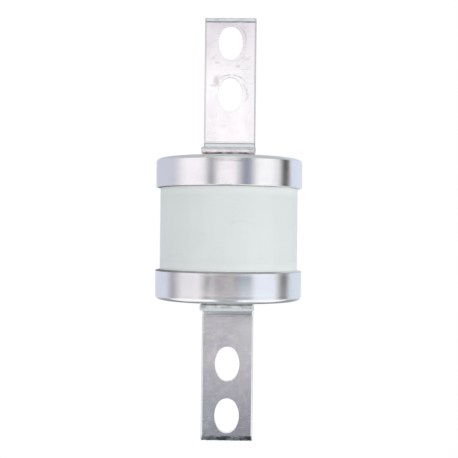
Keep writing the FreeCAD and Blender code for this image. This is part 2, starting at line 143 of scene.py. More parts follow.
def empty_tree(owner):
    """The owner's own nodes, emptied."""
    owner.use_nodes = True
    owner.node_tree.nodes.clear()
    return owner.node_tree


def seen_directly(tree):
    """1 for what the camera sees by itself, in polished metal or through glass, and 0 for light."""
    path = node(tree, "ShaderNodeLightPath").outputs
    mirrored = calc("ADD", path["Is Glossy Ray"], path["Is Transmission Ray"])
    return calc("ADD", path["Is Camera Ray"], mirrored, clamp=True)


def put_in(name, data):
    """A new object in the scene."""
    item = bpy.data.objects.new(name, data)
    bpy.context.scene.collection.objects.link(item)
    return item


def mesh_piece(name, places, faces, edges=()):
    """An object whose place is all in its mesh."""
    mesh = bpy.data.meshes.new(name)
    mesh.from_pydata([tuple(place) for place in places], list(edges), list(faces))
    return put_in(name, mesh)


def make_camera():
    """The camera, turned and leaning as in the photograph."""

    def about(axis, degrees):
        return Matrix.Rotation(math.radians(degrees), 4, axis)

    camera = put_in("camera", bpy.data.cameras.new("camera"))
    camera.data.lens = camera_lens
    camera.data.clip_start = 0.01
    turned = about("Z", camera_pan) @ about("X", camera_tilt)
    leaning = about("Y", camera_roll) @ about("X", 90)
    camera.matrix_world = Matrix.Translation(camera_place) @ turned @ leaning
    bpy.context.scene.camera = camera


def make_surroundings():
    """White where it is seen, and a plain level of light where it only lights."""
    world = bpy.context.scene.world = bpy.data.worlds.new("surroundings")
    tree = empty_tree(world)
    light = wire(tree, "ShaderNodeBackground", {"Color": (1, 1, 1, 1), "Strength": plain_light})
    white = wire(tree, "ShaderNodeBackground", {"Color": (1, 1, 1, 1)})
    mixed = wire(tree, "ShaderNodeMixShader", {0: seen_directly(tree), 1: light, 2: white})
    node(tree, "ShaderNodeOutputWorld", {"Surface": mixed})


def make_lamp(name, place, size, watts):
    """A wide soft lamp that faces the link, and that polished metal doesn't show."""
    lamp = put_in(name, bpy.data.lights.new(name, "AREA"))
    lamp.data.size = size
    lamp.data.energy = watts
    lamp.matrix_world = Matrix.Translation(place) @ Vector(place).to_track_quat("Z", "Y").to_matrix().to_4x4()
    lamp.visible_glossy = False


def make_floor():
    """A wide pale floor, white where it is seen, that still takes a soft shadow."""
    corners = [(-1, -1), (1, -1), (1, 1), (-1, 1)]
    places = [(x * floor_reach, y * floor_reach, floor_height) for x, y in corners]
    floor = mesh_piece("floor", places, [(0, 1, 2, 3)])
    material = bpy.data.materials.new("pale_floor")
    tree = empty_tree(material)
    pale = wire(tree, "ShaderNodeBsdfDiffuse", {"Color": (0.9, 0.9, 0.9, 1)})
    white = wire(tree, "ShaderNodeEmission", {"Color": (1, 1, 1, 1), "Strength": floor_glow})
    share = times(seen_directly(tree), floor_glow_share)
    mixed = wire(tree, "ShaderNodeMixShader", {0: share, 1: pale, 2: white})
    node(tree, "ShaderNodeOutputMaterial", {"Surface": mixed})
    floor.data.materials.append(material)


def make_screen(number, start, end, fade, rows):
    """One screen or floor sheet, bent round the link and faded at its ends."""
    inner = end - start - 2 * fade
    turns = [start + fade + inner * step / (screen_columns - 1) for step in range(screen_columns)]
    covers = [1.0] * screen_columns
    if fade:
        turns, covers = [start, *turns, end], [0.0, *covers, 0.0]
    places, shades = [], []
    for turn, cover in zip(turns, covers):
        angle = math.radians(turn)
        for reach, height, *look in rows:
            shade = look[0] if look else shade
            solid = look[1] if len(look) > 1 else 1
            places.append((reach * math.sin(angle), -reach * math.cos(angle), height))
            shades += [*shade, cover * solid]
    count = len(rows)
    faces = []
    for column in range(len(turns) - 1):
        for row in range(count - 1):
            first = column * count + row
            faces.append((first, first + 1, first + count + 1, first + count))
    screen = mesh_piece(f"screen_{number}", places, faces)
    layer = screen.data.attributes.new("shade", "FLOAT_COLOR", "POINT")
    layer.data.foreach_set("color", shades)
    material = bpy.data.materials.new(f"screen_{number}")
    tree = empty_tree(material)
    shade = node(tree, "ShaderNodeAttribute", attribute_name="shade").outputs
    shown = wire(tree, "ShaderNodeEmission", {"Color": shade["Color"]})
    clear = wire(tree, "ShaderNodeBsdfTransparent")
    mixed = wire(tree, "ShaderNodeMixShader", {0: shade["Alpha"], 1: clear, 2: shown})
    node(tree, "ShaderNodeOutputMaterial", {"Surface": mixed})
    screen.data.materials.append(material)
    # Only polished metal shows it
    screen.visible_camera = screen.visible_diffuse = screen.visible_shadow = False
    screen.visible_transmission = screen.visible_volume_scatter = False


make_camera()
make_surroundings()
make_lamp("lamp_right", (1.0, -1.1, 0.15), 0.9, 4.6)
make_lamp("lamp_left", (-1.1, -0.7, 0.4), 0.9, 0.2)
make_floor()
for number, screen in enumerate(screens, 1):
    make_screen(number, *screen)
bpy.context.scene.view_settings.view_transform = "Standard"


# The ceramic body. A thick extruded tube of white ceramic with a pale green tinge, fired with a thin satin
# glaze. Its ends are ground flat, and sit in the caps.
ceramic_radius, ceramic_bore, ceramic_half = 33.85, 25.0, 31.8
steps_round = 288


def start_finish(name, colour, roughness, metallic=0.0):
    """A finish with its plain values set, and the place on the piece that its patterns go by."""
    material = bpy.data.materials.new(name)
    material.use_nodes = True
    tree = material.node_tree
    plain = {"Base Color": (*colour, 1), "Roughness": roughness, "Metallic": metallic}
    for key, value in plain.items():
        tree.nodes["Principled BSDF"].inputs[key].default_value = value
    return material, node(tree, "ShaderNodeTexCoord").outputs["Object"]


def end_finish(material, colour, relief, roughness=None, metallic=None):
    """Join the patterns to the finish."""
    tree = material.node_tree
    patterns = {"Base Color": colour, "Normal": relief, "Roughness": roughness, "Metallic": metallic}
    for key, pattern in patterns.items():
        if pattern is not None:
            tree.links.new(pattern, tree.nodes["Principled BSDF"].inputs[key])
    return material


def grain(place, cells, stretch=(1, 1, 1), turn=(0, 0, 0), detail=2.0):
    """Cloudy noise with so many cells a metre, stretched and turned."""
    laid = wire(place, "ShaderNodeMapping", {"Vector": place, "Scale": stretch, "Rotation": turn})
    return wire(place, "ShaderNodeTexNoise", {"Vector": laid, "Scale": cells, "Detail": detail})


def parts_of(place):
    """The X, Y and Z of a place."""
    return node(place, "ShaderNodeSeparateXYZ", {0: place}).outputs


def apart(first, second):
    """How far an output is from another number."""
    return calc("ABSOLUTE", calc("SUBTRACT", first, second))


def ease(given, low, high, to_low=0.0, to_high=1.0):
    """A number eased from one range to another."""
    ranged = {"Value": given, "From Min": low, "From Max": high, "To Min": to_low, "To Max": to_high}
    return wire(given, "ShaderNodeMapRange", ranged, interpolation_type="SMOOTHSTEP")


def ease_mm(distance, low, high, to_low=0.0, to_high=1.0):
    """The same for a distance, whose own range is in millimetres."""
    return ease(distance, low * mm, high * mm, to_low, to_high)


def tint(share, first, second):
    """One colour eased into another."""
    pair = {0: share}
    for key, colour in ((6, first), (7, second)):
        pair[key] = colour if isinstance(colour, bpy.types.NodeSocket) else (*colour, 1)
    return node(share, "ShaderNodeMix", pair, data_type="RGBA").outputs[2]


def raise_by(height, depth, under=None):
    """Relief of a given depth in metres, laid over other relief. A depth below zero makes hollows."""
    inputs = {"Height": height, "Distance": abs(depth)}
    if under is not None:
        inputs["Normal"] = under
    return wire(height, "ShaderNodeBump", inputs, invert=depth < 0)


def glazed_ceramic():
    """Satin glaze over white ceramic: faintly clouded, with pores and grey specks, and painted light near its
    ends.
    """
    material, place = start_finish("white_glazed_ceramic", (0.76, 0.81, 0.79), 0.42)
    clouds = ease(grain(place, 45, detail=3.0), 0.35, 0.65)
    streaks = ease(grain(place, 240, (1, 1, 0.08)), 0.4, 0.7)
    specks = ease(grain(place, 1300, detail=1.0), 0.74, 0.79)
    smears = ease(grain(place, 90, (1, 1, 2.2), detail=4.0), 0.6, 0.74)
    body = tint(clouds, (0.785, 0.832, 0.83), (0.755, 0.808, 0.8))
    body = tint(times(streaks, 0.35), body, (0.745, 0.79, 0.782))
    body = tint(times(smears, 0.22), body, (0.66, 0.69, 0.67))
    body = tint(times(specks, 0.45), body, (0.5, 0.51, 0.47))
    height = calc("ABSOLUTE", parts_of(place)["Z"])
    # Painted light: paler glaze near the ends, against the shade that the caps' overhang casts there
    body = tint(ease_mm(height, 15.0, 20.0, 0.0, 0.95), body, (0.9, 0.945, 0.935))
    ripple = raise_by(grain(place, 420, detail=3.0), 0.00003)
    return end_finish(material, body, raise_by(specks, 0.00002, ripple), ease(clouds, 0, 1, 0.36, 0.48))


def rounded(corners, closed=False, steps=6, hold=0.12):
    """A run of corners (across, up, radius), with each radius drawn as an arc between two nearby points."""
    points = []
    last = len(corners) - 1
    for index, (across, up, radius) in enumerate(corners):
        corner = Vector((across, up))
        if radius == 0 or (not closed and index in (0, last)):
            points.append(corner)
            continue
        before = (Vector(corners[index - 1][:2]) - corner).normalized()
        after = (Vector(corners[(index + 1) % len(corners)][:2]) - corner).normalized()
        angle = before.angle(after)
        reach = radius / math.tan(angle / 2)
        centre = corner + (before + after).normalized() * (radius / math.sin(angle / 2))
        start = corner + before * reach - centre
        turn = math.pi - angle
        if before.x * after.y - before.y * after.x > 0:
            turn = -turn
        points.append(corner + before * (reach + hold))
        for step in range(steps + 1):
            bend = Matrix.Rotation(turn * step / steps, 2)
            points.append(centre + bend @ start)
        points.append(corner + after * (reach + hold))
    return points


def new_tree(name, inputs):
    """A geometry tree with its named inputs, and the outputs that give them."""
    tree = bpy.data.node_groups.new(name, "GeometryNodeTree")
    for label, kind in inputs.items():
        tree.interface.new_socket(label, in_out="INPUT", socket_type="NodeSocket" + kind)
    tree.interface.new_socket("Piece", in_out="OUTPUT", socket_type="NodeSocketGeometry")
    return tree, node(tree, "NodeGroupInput").outputs


def end_tree(tree, shape, touching, finish):
    """The tree's end: touching points joined, smooth faces, one real mesh and its finish."""
    closed = wire(tree, "GeometryNodeMergeByDistance", {"Geometry": shape, "Distance": touching * mm})
    smooth = wire(tree, "GeometryNodeSetShadeSmooth", {"Geometry": closed})
    real = wire(tree, "GeometryNodeRealizeInstances", {"Geometry": smooth})
    done = wire(tree, "GeometryNodeSetMaterial", {"Geometry": real, "Material": finish})
    node(tree, "NodeGroupOutput", {"Piece": done})


def lathe_tree():
    """Nodes that carry a half section, given as a run of points, round the link's axis."""
    kinds = {"Section": "Geometry", "Steps Round": "Int", "Finish": "Material"}
    tree, given = new_tree("turned_round_the_axis", kinds)
    count = wire(tree, "GeometryNodeAttributeDomainSize", {"Geometry": given["Section"]}, component="MESH")
    columns = calc("ADD", given["Steps Round"], 1)
    sheet = wire(tree, "GeometryNodeMeshGrid", {"Vertices X": columns, "Vertices Y": count})
    index = wire(tree, "GeometryNodeInputIndex")
    column = calc("FLOOR", calc("DIVIDE", index, count))
    row = calc("SUBTRACT", index, times(column, count))
    turn = calc("DIVIDE", times(column, math.tau), given["Steps Round"])
    spot = wire(tree, "GeometryNodeInputPosition")
    drawn = {"Geometry": given["Section"], "Value": spot, "Index": row}
    point = wire(tree, "GeometryNodeSampleIndex", drawn, data_type="FLOAT_VECTOR", domain="POINT")
    split = parts_of(point)
    across = times(split["X"], calc("COSINE", turn))
    along = times(split["X"], calc("SINE", turn))
    place = wire(tree, "ShaderNodeCombineXYZ", {"X": across, "Y": along, "Z": split["Z"]})
    turned = wire(tree, "GeometryNodeSetPosition", {"Geometry": sheet, "Position": place})
    end_tree(tree, turned, 0.002, given["Finish"])
    return tree


def grow(piece, tree, values):
    """Run a tree on a piece, keep the result as its plain mesh, and point its faces outwards."""
    modifier = piece.modifiers.new(tree.name, "NODES")
    modifier.node_group = tree
    for item in tree.interface.items_tree:
        if item.in_out == "INPUT" and item.name in values:
            modifier[item.identifier] = values[item.name]
    bpy.context.view_layer.update()
    graph = bpy.context.evaluated_depsgraph_get()
    grown = bpy.data.meshes.new_from_object(piece.evaluated_get(graph))
    piece.modifiers.clear()
    piece.data = grown
    grown.name = piece.name
    outward(piece)


def outward(piece):
    """Turn every face of a closed mesh outwards."""
    work = bmesh.new()
    work.from_mesh(piece.data)
    bmesh.ops.recalc_face_normals(work, faces=work.faces)
    work.to_mesh(piece.data)
    work.free()


def turn_piece(name, section, finish):
    """A piece turned from a half section of (radius, height) in millimetres."""
    places = [(point.x * mm, 0, point.y * mm) for point in section]
    piece = mesh_piece(name, places, [], [(n, n + 1) for n in range(len(places) - 1)])
    grow(piece, turned_round_axis, {"Steps Round": steps_round, "Finish": finish})
    return piece


turned_round_axis = lathe_tree()
tube = rounded([
    (ceramic_radius, -ceramic_half, 0.6),
    (ceramic_radius, ceramic_half, 0.6),
    (ceramic_bore, ceramic_half, 0.6),
    (ceramic_bore, -ceramic_half, 0.6),
], closed=True)
ceramic_tube = turn_piece("ceramic_tube", tube + tube[:1], glazed_ceramic())
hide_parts("ceramic_body")
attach(ceramic_tube, "root")


# The gaskets, inner caps and filler plug. Fibre rings lie between the ceramic's ground ends and two thin
# caps drawn from plain brass sheet. The upper cap's filling hole is closed by a pressed brass disc.
def fibre_board():
    """Pressed fibre: dull, mottled and slightly fuzzy."""
    material, place = start_finish("pressed_fibre", (0.72, 0.66, 0.56), 0.9)
    mottle = tint(ease(grain(place, 380, detail=5.0), 0.3, 0.7), (0.62, 0.55, 0.45), (0.76, 0.7, 0.6))
    return end_finish(material, mottle, raise_by(grain(place, 1600, detail=4.0), 0.00004))


def plain_brass():
    """Unplated drawn brass with fine draw lines and a few dull patches."""
    material, place = start_finish("plain_brass", (0.8, 0.62, 0.32), 0.34, metallic=1.0)
    lines = raise_by(grain(place, 60, (1, 1, 50), detail=3.0), 0.00001)
    patches = ease(grain(place, 130, detail=4.0), 0.45, 0.7)
    brass = tint(patches, (0.82, 0.65, 0.35), (0.62, 0.46, 0.24))
    return end_finish(material, brass, lines, ease(patches, 0, 1, 0.28, 0.48))


def dress(names, finish):
    """Give pieces of the frame their finish."""
    for name in names:
        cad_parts[name].material_slots[0].material = finish


dress(["upper_gasket", "lower_gasket"], fibre_board())
dress(["upper_inner_cap", "lower_inner_cap", "filler_plug"], plain_brass())


# The fuse elements and their overlays. Six punched strips of fine silver stand round the axis, each with
# a band of soft tin alloy across its middle. Their ends are bent over the inner caps and welded.
element_count = 6


def silver_strip():
    """Rolled fine silver with rolling lines and a trace of tarnish."""
    material, place = start_finish("rolled_silver", (0.9, 0.88, 0.85), 0.24, metallic=1.0)
    tarnish = ease(grain(place, 160, detail=4.0), 0.5, 0.75)
    lines = raise_by(grain(place, 900, (1, 1, 0.05)), 0.000006)
    return end_finish(material, tint(tarnish, (0.92, 0.9, 0.87), (0.66, 0.6, 0.52)), lines)


def tin_alloy():
    """Cast soft alloy: dull grey, with a pebbled skin."""
    material, place = start_finish("tin_alloy", (0.64, 0.64, 0.65), 0.5, metallic=1.0)
    skin = grain(place, 700, detail=3.0)
    return end_finish(material, tint(skin, (0.52, 0.52, 0.54), (0.72, 0.72, 0.73)), raise_by(skin, 0.00006))


dress([f"fuse_element_{number}" for number in range(1, element_count + 1)], silver_strip())
dress([f"solder_overlay_{number}" for number in range(1, element_count + 1)], tin_alloy())


# The quartz filler. Dry, sharp quartz sand fills the ceramic round the elements and is shaken down hard.
# It puts out the arc when the elements melt.
def quartz_sand():
    """Packed sand: pale, glassy and dark grains in a rough mass."""
    material, place = start_finish("quartz_sand", (0.8, 0.76, 0.68), 0.7)
    grains = node(place, "ShaderNodeTexVoronoi", {"Vector": place, "Scale": 2200.0}).outputs
    shade = wire(place, "ShaderNodeSeparateColor", {0: grains["Color"]})
    sand = tint(shade, (0.62, 0.55, 0.45), (0.88, 0.86, 0.8))
    return end_finish(material, sand, raise_by(grains["Distance"], -0.0003), ease(shade, 0, 1, 0.4, 0.85))


dress(["quartz_filler"], quartz_sand())


# The outer caps. Each is drawn from brass sheet 1.2 mm thick, with a rounded closed edge, then tin plated
# and pressed on, and its rim is rolled in under the inner cap onto the ceramic.
cap_radius, cap_inside = 35.99, 34.79
cap_face, cap_underside = 34.9, 33.7
cap_rim, cap_rim_lip = 19.8, 0.9
cap_seat = 33.87
cap_round, cap_shoulder_drop, cap_inner_round = 2.7, 2.3, 0.8
crown_start = 24.0
crown_drops = {"upper": 0.52, "lower": 0.22}
crown_steps, shoulder_steps, wall_rows = 8, 18, 14
rim_corner_rise = 0.52
wall_crown = 0.05
draw_ring_height = 31.7


def cap_section(crown_drop):
    """Half section of an upper cap, from the axis over the outside and back under its wall."""

    def face_height(across):
        share = max(0.0, across - crown_start) / (cap_radius - crown_start)
        return cap_face - crown_drop * share ** 2

    points = [Vector((0, cap_face))]
    crown_width = cap_radius - cap_round - crown_start
    for step in range(crown_steps):
        across = crown_start + crown_width * step / crown_steps
        points.append(Vector((across, face_height(across))))
    for step in range(shoulder_steps, -1, -1):
        lean = math.radians(90 * step / shoulder_steps)
        across = cap_radius - cap_round * (1 - math.cos(lean))
        fall = (cap_shoulder_drop - crown_drop) * (1 - math.sin(lean))
        points.append(Vector((across, face_height(across) - fall)))
    upper, lower = cap_face - cap_shoulder_drop, cap_rim + rim_corner_rise + 0.3
    for row in range(1, wall_rows):
        share = row / wall_rows
        bow = wall_crown * (1 - 4 * share * (1 - share))
        points.append(Vector((cap_radius - bow, upper + (lower - upper) * share)))
    rest = rounded([
        (cap_radius, upper, 0),
        (cap_radius, cap_rim + rim_corner_rise, 0.3),
        (cap_seat, cap_rim, 0.15),
        (cap_seat, cap_rim + cap_rim_lip, 0.1),
        (cap_inside, cap_rim + cap_rim_lip + cap_inside - cap_seat, 0.2),
        (cap_inside, cap_underside, cap_inner_round),
        (0, cap_underside, 0),
    ], steps=9, hold=0.2)
    return points + rest[1:]


def cap_plate():
    """Tin plate over drawn brass: fine lines round the wall, soft waves, faint stains and small scuffs, with
    painted shade at the rim and the upper shoulder.
    """
    bright, dull, roughness = (0.97, 0.96, 0.97), (0.94, 0.935, 0.945), 0.2
    material, place = start_finish("tin_plate_on_caps", bright, roughness, metallic=1.0)
    lines = grain(place, 40, (1, 1, 70), detail=4.0)
    waves = grain(place, 70, (1, 1, 0.8), detail=1.0)
    clouds = ease(grain(place, 120, detail=4.0), 0.42, 0.72)
    stains = ease(grain(place, 260, (1, 1, 1.5), detail=5.0), 0.6, 0.74)
    scuffs = ease(grain(place, 300, (1, 1, 6), (0.4, 0.2, 0), detail=4.0), 0.66, 0.74)
    plate = tint(clouds, bright, dull)
    plate = tint(times(lines, 0.25), plate, dull)
    plate = tint(times(stains, 0.14), plate, (0.62, 0.61, 0.62))
    # A darker band round the upper cap's wall just below its shoulder, only at the front middle
    split = parts_of(place)
    drag = grain(place, 150, (1, 1, 9), detail=4.0)
    near = ease_mm(apart(split["Z"], draw_ring_height * mm), 1.2, 0.1)
    middle = ease_mm(apart(split["X"], 1.0 * mm), 9, 4)
    front = times(middle, ease_mm(split["Y"], -20, -30))
    rub = times(near, front, ease(drag, 0.35, 0.65, 0.35, 0.85))
    plate = tint(rub, plate, (0.6, 0.56, 0.58))
    # The bare cut rim, with painted shade along it where it meets the ceramic: wider on the lower cap,
    # fainter at the right and darker at the left
    height = calc("ABSOLUTE", split["Z"])
    uneven = times(grain(place, 160, detail=3.0), 0.35 * mm)
    bare_and_shaded_to = ease_mm(split["Z"], -10, 10, (cap_rim + 1.1) * mm, (cap_rim + 0.6) * mm)
    bare_and_shaded_rim = ease_mm(calc("SUBTRACT", calc("ADD", height, uneven), bare_and_shaded_to), 0.1, -0.2)
    bare_and_shaded_rim = times(bare_and_shaded_rim, ease(ease_mm(split["X"], 18, 30), 0, 1, 1.0, 0.45))
    shaded_left = ease_mm(split["X"], -20, -29)
    plate = tint(bare_and_shaded_rim, plate, tint(shaded_left, (0.46, 0.45, 0.45), (0.24, 0.24, 0.25)))
    # Painted shade over the upper cap's shoulder
    shoulder = ease_mm(split["Z"], cap_face - 2.1, cap_face - 1.5, 0.0, 0.4)
    plate = tint(shoulder, plate, (0.7, 0.72, 0.71))
    rough = ease(clouds, 0, 1, roughness - 0.01, roughness + 0.02)
    rough = calc("ADD", rough, times(scuffs, 0.04), times(bare_and_shaded_rim, 0.3))
    relief = raise_by(lines, 0.000006, raise_by(waves, 0.00003))
    return end_finish(material, plate, raise_by(scuffs, -0.000003, relief), rough)


def turn_over(piece):
    """Turn a piece that is made for the upper end upside down about Y, in its mesh."""
    piece.data.transform(Matrix.Rotation(math.pi, 4, "Y"))


drawn_cap_finish = cap_plate()
for end in ("upper", "lower"):
    drawn_cap = turn_piece(f"{end}_drawn_cap", cap_section(crown_drops[end]), drawn_cap_finish)
    if end == "lower":
        turn_over(drawn_cap)
    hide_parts(f"{end}_outer_cap")
    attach(drawn_cap, "root")


# The braze. A thin sheet of brown brazing alloy holds each tag's foot to its cap, and has run out into
# an uneven bead along the foot's front and sides.
braze_half_width, braze_front, braze_back = 11.7, -28.2, -6.4
braze_low, braze_thickness = 34.9, 0.3
# Each bead's radius, and how far its middle lies above the cap
bead_sizes = {"upper": (0.6, 0.42), "lower": (0.42, 0.42)}
bead_unevenness = 1.7
bead_steps = 320
seam_step, seam_wander = 0.6, 0.2
# The middle and half width of the places at the front where the seam is wetted with tin
wetted_places = ((-12.0, 2.0), (-1.8, 1.6), (3.4, 2.4))


def braze_finish():
    """Brazing alloy: brown scale with coppery patches, dull and pitted, wetted with tin here and there."""
    material, place = start_finish("braze_scale", (0.34, 0.25, 0.23), 0.55, metallic=0.7)
    scale = ease(grain(place, 420, detail=5.0), 0.35, 0.65)
    copper = ease(grain(place, 240, turn=(0, 0, 1.1), detail=3.0), 0.52, 0.66)
    split = parts_of(place)
    copper = times(copper, ease_mm(split["Z"], -10, 10, 0.15, 1.0))
    copper = times(copper, ease_mm(split["X"], 0, 5, 1.0, 0.1))
    brown = tint(scale, (0.19, 0.18, 0.18), (0.4, 0.38, 0.38))
    brown = tint(copper, brown, (0.4, 0.26, 0.24))
    wetted = ease(grain(place, 120, turn=(0.4, 0, 0.3), detail=4.0), 0.47, 0.6)
    for middle, half in wetted_places:
        aside = apart(split["X"], middle * mm)
        wetted = calc("MAXIMUM", wetted, ease_mm(aside, half, half * 0.3, 0.0, 0.8))
    wetted = times(wetted, ease_mm(split["Z"], -10, 10, 0.3, 0.85))
    pits = raise_by(grain(place, 1500, detail=4.0), 0.00008)
    brown = tint(wetted, brown, (0.66, 0.62, 0.65))
    return end_finish(material, brown, pits, ease(scale, 0, 1, 0.45, 0.75))


def bead_tree():
    """Nodes that fill a seam's outline as a thin sheet, and run an uneven bead along it."""
    numbers = ("Sheet Thickness", "Bead Radius", "Bead Rise", "Unevenness", "Seed")
    kinds = {"Outline": "Geometry", **dict.fromkeys(numbers, "Float"), "Finish": "Material"}
    tree, given = new_tree("braze_sheet_and_bead", kinds)
    seam = wire(tree, "GeometryNodeMeshToCurve", {"Mesh": given["Outline"]})
    flat = wire(tree, "GeometryNodeFillCurve", {"Curve": seam})
    up = wire(tree, "ShaderNodeCombineXYZ", {"Z": given["Sheet Thickness"]})
    pushed = {"Mesh": flat, "Offset": up, "Offset Scale": 1.0, "Individual": False}
    raised = wire(tree, "GeometryNodeExtrudeMesh", pushed)
    under = wire(tree, "GeometryNodeFlipFaces", {"Mesh": flat})
    fine = wire(tree, "GeometryNodeResampleCurve", {"Curve": seam, "Count": bead_steps})
    pattern = {"Scale": 210.0, "Detail": 4.0, "W": given["Seed"]}
    lumps = wire(tree, "ShaderNodeTexNoise", pattern, noise_dimensions="4D")
    lumps = times(calc("SUBTRACT", lumps, 0.5), given["Unevenness"])
    thick = times(calc("ADD", lumps, 1.0), given["Bead Radius"])
    lift = wire(tree, "ShaderNodeCombineXYZ", {"Z": given["Bead Rise"]})
    laid = wire(tree, "GeometryNodeSetPosition", {"Geometry": fine, "Offset": lift})
    profile = wire(tree, "GeometryNodeCurvePrimitiveCircle", {"Resolution": 8, "Radius": 1.0})
    bead = wire(tree, "GeometryNodeCurveToMesh", {"Curve": laid, "Profile Curve": profile, "Scale": thick})
    joined = node(tree, "GeometryNodeJoinGeometry")
    for part in (bead, under, raised):
        tree.links.new(part, joined.inputs[0])
    end_tree(tree, joined.outputs[0], 0.001, given["Finish"])
    return tree


def seam_outline(seed):
    """The edge of the run-out alloy under a foot: a rectangle with a wandering edge."""
    corners = [
        (-braze_half_width, braze_front, 1.2),
        (braze_half_width, braze_front, 1.2),
        (braze_half_width, braze_back, 0.8),
        (-braze_half_width, braze_back, 0.8),
    ]
    run = rounded(corners, closed=True, steps=4, hold=0)
    spaced = []
    for first, second in zip(run, run[1:] + run[:1]):
        parts = max(1, round((second - first).length / seam_step))
        spaced += [first.lerp(second, part / parts) for part in range(parts)]
    middle, half_depth = -17, 11
    places = []
    for point in spaced:
        wander = noise.noise(Vector((point.x * 0.45, point.y * 0.45, seed)))
        away = Vector((point.x / braze_half_width, (point.y - middle) / half_depth)).normalized()
        place = point + away * seam_wander * wander
        places.append((place.x * mm, place.y * mm, braze_low * mm))
    return places


braze_spread = bead_tree()
braze_scale = braze_finish()
for seed, end in enumerate(("upper", "lower"), 1):
    places = seam_outline(seed * 7.3)
    edges = [(n, (n + 1) % len(places)) for n in range(len(places))]
    braze = mesh_piece(f"{end}_braze_bead", places, [], edges)
    sizes = {
        "Sheet Thickness": braze_thickness * mm,
        "Bead Radius": bead_sizes[end][0] * mm,
        "Bead Rise": bead_sizes[end][1] * mm,
        "Unevenness": bead_unevenness,
        "Seed": seed * 3.1,
        "Finish": braze_scale,
    }
    grow(braze, braze_spread, sizes)
    if end == "lower":
        turn_over(braze)
    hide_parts(f"{end}_braze")
    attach(braze, "root")


# The tags. Copper strip 25.4 by 3.2 mm is cropped to length, punched with two oval holes, bent to an L
# over a 4.5 mm radius and tin plated. The foot is brazed to the cap and the blade stands on the axis.
tag_half_width, tag_half_thickness = 12.7, 1.6
tag_edge_round = 0.8
foot_front, foot_middle = -28.0, 36.8
bend_across, bend_up, bend_radius = -6.1, 42.9, 6.1
blade_end, crop_start, crop_depth = 104.5, 102.1, 0.9
end_edge_round = 0.3
hole_heights = (66.5, 92.0)
oval_end_radius, oval_end_offset = 5.0, 3.5
oval_side_radius, oval_side_offset = 11.625, 5.625
punch_round = 0.12
# How far outside the oval and how deep each loop of a hole's wall lies, behind its rolled front edge
hole_wall = [(0.0, 1.7), (0.05, 2.4), (0.07, 3.02), (0.12, 3.15), (0.22, 3.2), (0.34, 3.2)]
# The crop at the blade's end curves for a share of its length, then runs straight, and most of it is cut
# before the rounded edge
crease_share, cut_before_edge = 0.7, 0.8
foot_shares = (0.02, 0.35, 0.7, 0.98)
flat_gap = 0.3
bend_crease_height = 42.35
tag_columns, edge_steps, end_rows, flat_hold = 44, 5, 6, 0.15
bend_steps, crop_steps, torn_rings = 14, 12, 3


def oval(centre, outside, steps=22):
    """Points of the punched oval, four arcs, at a distance outside its edge."""
    change = math.degrees(math.atan2(oval_end_offset, oval_side_offset))
    arcs = [
        (-oval_side_offset, 0, oval_side_radius, -change, change),
        (0, oval_end_offset, oval_end_radius, change, 180 - change),
        (oval_side_offset, 0, oval_side_radius, 180 - change, 180 + change),
        (0, -oval_end_offset, oval_end_radius, 180 + change, 360 - change),
    ]
    points = []
    for across, up, radius, first, last in arcs:
        for step in range(steps):
            angle = math.radians(first + (last - first) * step / steps)
            reach = radius + outside
            points.append((across + reach * math.cos(angle), centre + up + reach * math.sin(angle)))
    return points


def strip_section(inset, front_cut):
    """The strip's outline across its width and thickness: front, right, back and left in turn."""
    half, thick = tag_half_width - inset, tag_half_thickness - inset
    front = thick - front_cut
    turn = min(tag_edge_round, (front + thick) / 2)
    flat = half - turn
    inner = flat - flat_hold
    spaced = [inner * (2 * column / (tag_columns - 2) - 1) for column in range(tag_columns - 1)]
    columns = [-flat, *spaced, flat]
    right = []
    for centre, first in ((front - turn, 90), (turn - thick, 0)):
        for step in range(edge_steps + 1):
            angle = math.radians(first - 90 * step / edge_steps)
            right.append((flat + turn * math.cos(angle), centre + turn * math.sin(angle)))
    right = right[1:-1]
    left = [(-across, depth) for across, depth in reversed(right)]
    return [(x, front) for x in columns] + right + [(-x, -thick) for x in columns] + left


def strip_stations():
    """Places along the strip from the foot's front to the blade's end, and where the flat blade starts.

    Each place has its point and its two directions in the YZ plane, how far the outline is drawn in,
    and how much of the front is cropped away.
    """
    # A rounded end: shares of its round, back from the end and drawn in
    tucks = [(0.0, 1.0), (0.1, 0.53), (0.47, 0.13), (1.0, 0.0)]
    stations = []

    def lay(across, up, along, face, inset=0.0, cut=0.0):
        stations.append((Vector((across, up)), Vector(along), Vector(face), inset * end_edge_round, cut))

    along, face = (1, 0), (0, 1)
    for back, inset in tucks:
        lay(foot_front + back * end_edge_round, foot_middle, along, face, inset)
    for share in foot_shares:
        lay(foot_front + (bend_across - foot_front) * share, foot_middle, along, face)
    for step in range(bend_steps + 1):
        angle = math.radians(90 * step / bend_steps)
        out = Vector((math.sin(angle), -math.cos(angle)))
        spot = Vector((bend_across, bend_up)) + out * bend_radius
        lay(*spot, (math.cos(angle), math.sin(angle)), -out)
    along, face = (0, 1), (-1, 0)
    blade = len(stations)
    for up in (bend_up + flat_gap, crop_start - flat_gap):
        lay(0, up, along, face)
    last = blade_end - end_edge_round
    for step in range(crop_steps + 1):
        share = step / crop_steps
        drop = 0.5 * share ** 2 / crease_share if share < crease_share else share - crease_share / 2
        cut = cut_before_edge * crop_depth * drop / (1 - crease_share / 2)
        lay(0, crop_start + (last - crop_start) * share, along, face, 0.0, cut)
    for back, inset in reversed(tucks[:-1]):
        cut = crop_depth * (1 - (1 - cut_before_edge) * back)
        lay(0, blade_end - back * end_edge_round, along, face, inset, cut)
    return stations, blade


def torn(across, depth, place, shear):
    """How far a cropped end is torn back at one point of it, by broad and fine noise."""
    broad = noise.noise(Vector((across * 0.9, depth * 0.8, place)))
    fine = noise.noise(Vector((across * 3.3, depth * 2.2, place + 5)))
    return abs(broad + 0.6 * fine) * shear


